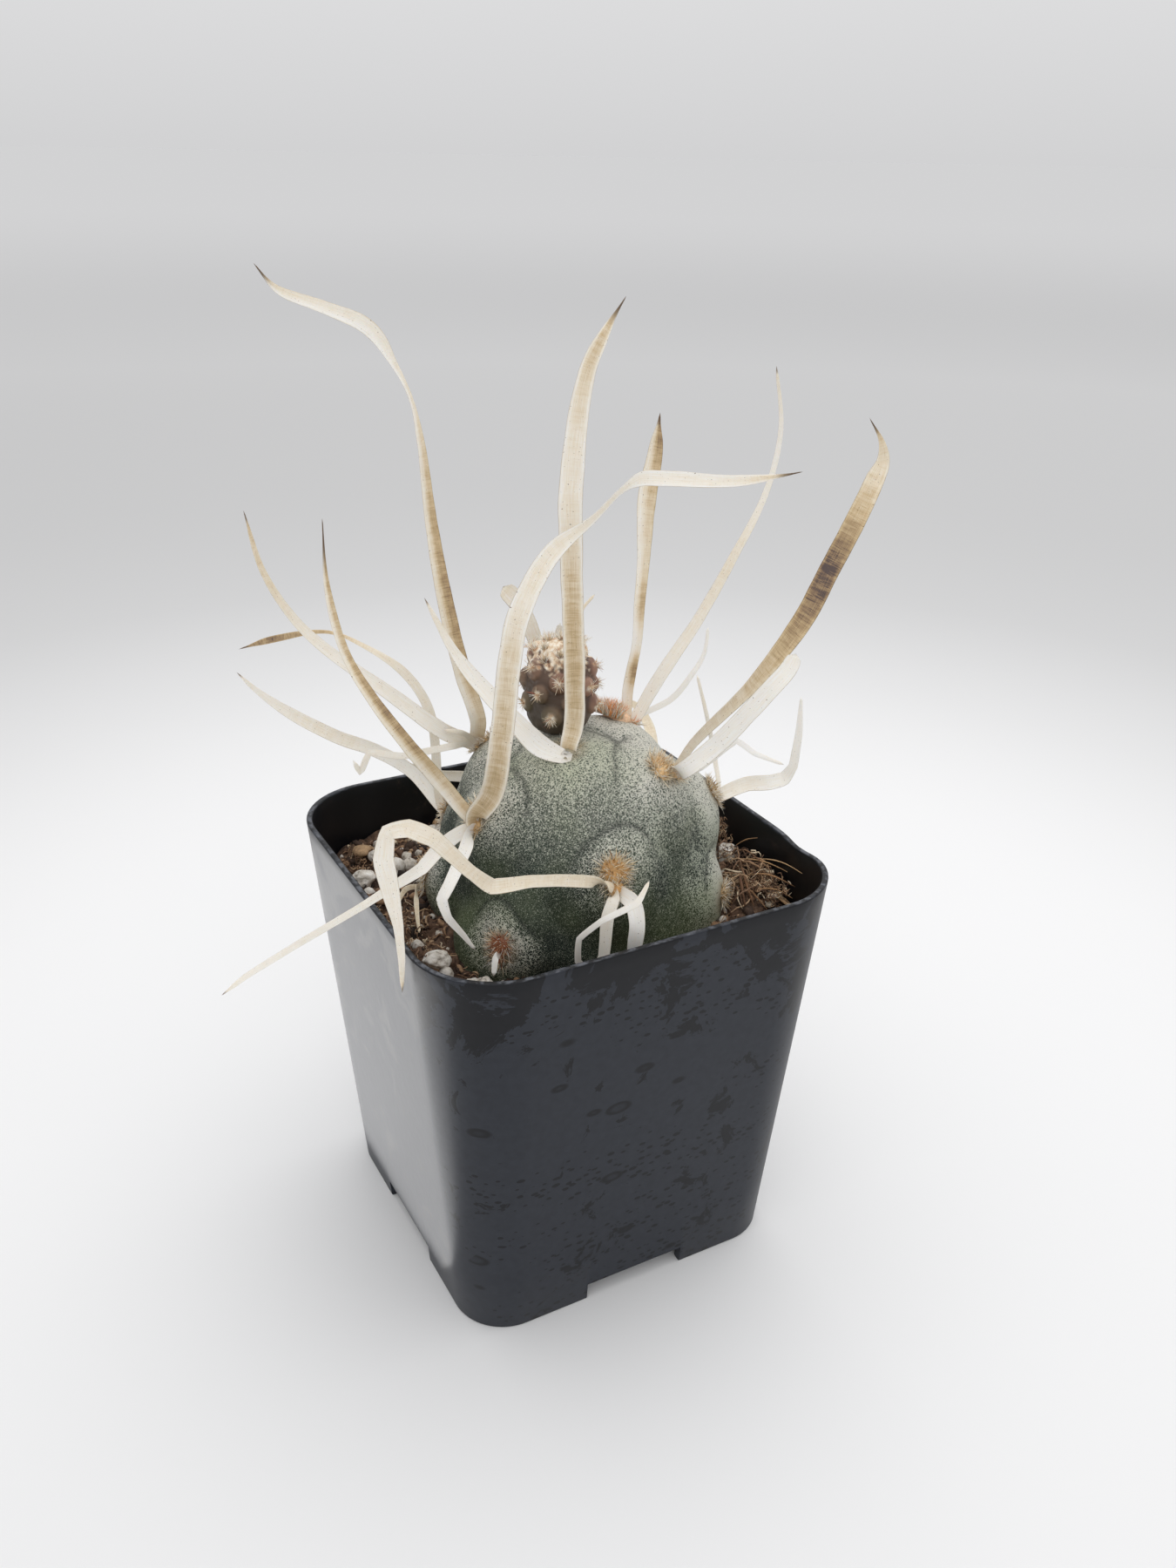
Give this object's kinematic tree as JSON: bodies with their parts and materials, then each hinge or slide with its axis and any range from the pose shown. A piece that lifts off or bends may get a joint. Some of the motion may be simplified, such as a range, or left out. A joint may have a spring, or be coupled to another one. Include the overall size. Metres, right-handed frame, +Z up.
{
  "type": "potted paper spine cactus",
  "caption": "Potted cactus with a round tubercled stem joint, a small young joint on top, long flat papery spines and bristle tufts, in a square nursery pot of gritty soil.",
  "frame": {"origin": "middle of the pot's base, on the surface that the pot stands on, which is also the bottom centre of the whole part's box", "axes": "+Z up, -Y towards the pot's face that looks at the viewer, +X to the right of that face; X and Y run square to the pot's sides"},
  "size_m": [0.0942, 0.0622, 0.1401],
  "materials": {
    "pot_plastic": "semi-gloss black moulded plastic with dried water marks",
    "potting_mix": "damp brown coir and grit",
    "perlite": "chalky white crumb",
    "stem_skin": "matte grey-green skin with a fine pale speckle",
    "young_skin": "matte brown-purple skin",
    "papery_spine": "dry papery cream with tan bands",
    "glochid_bristle": "golden brown bristles"
  },
  "bodies": {
    "root": {"glochids_crown_back": "glochid_bristle", "glochids_crown_front": "glochid_bristle", "glochids_crown_left": "glochid_bristle", "glochids_crown_right": "glochid_bristle", "glochids_low_back": "glochid_bristle", "glochids_low_back_right": "glochid_bristle", "glochids_low_front": "glochid_bristle", "glochids_low_left": "glochid_bristle", "glochids_low_right": "glochid_bristle", "glochids_shoulder_back": "glochid_bristle", "glochids_shoulder_front": "glochid_bristle", "glochids_shoulder_left": "glochid_bristle", "glochids_shoulder_right": "glochid_bristle", "glochids_side_left": "glochid_bristle", "perlite_1": "perlite", "perlite_2": "perlite", "perlite_3": "perlite", "perlite_4": "perlite", "perlite_5": "perlite", "perlite_6": "perlite", "perlite_7": "perlite", "perlite_8": "perlite", "pot": "pot_plastic", "soil": "potting_mix", "spines_crown_back": "papery_spine", "spines_crown_front": "papery_spine", "spines_crown_left": "papery_spine", "spines_crown_right": "papery_spine", "spines_low_back": "papery_spine", "spines_low_back_right": "papery_spine", "spines_low_front": "papery_spine", "spines_low_left": "papery_spine", "spines_shoulder_back": "papery_spine", "spines_shoulder_front": "papery_spine", "spines_shoulder_left": "papery_spine", "spines_shoulder_right": "papery_spine", "spines_side_left": "papery_spine", "stem": "stem_skin", "young_joint": "young_skin"}
  },
  "joints": []
}
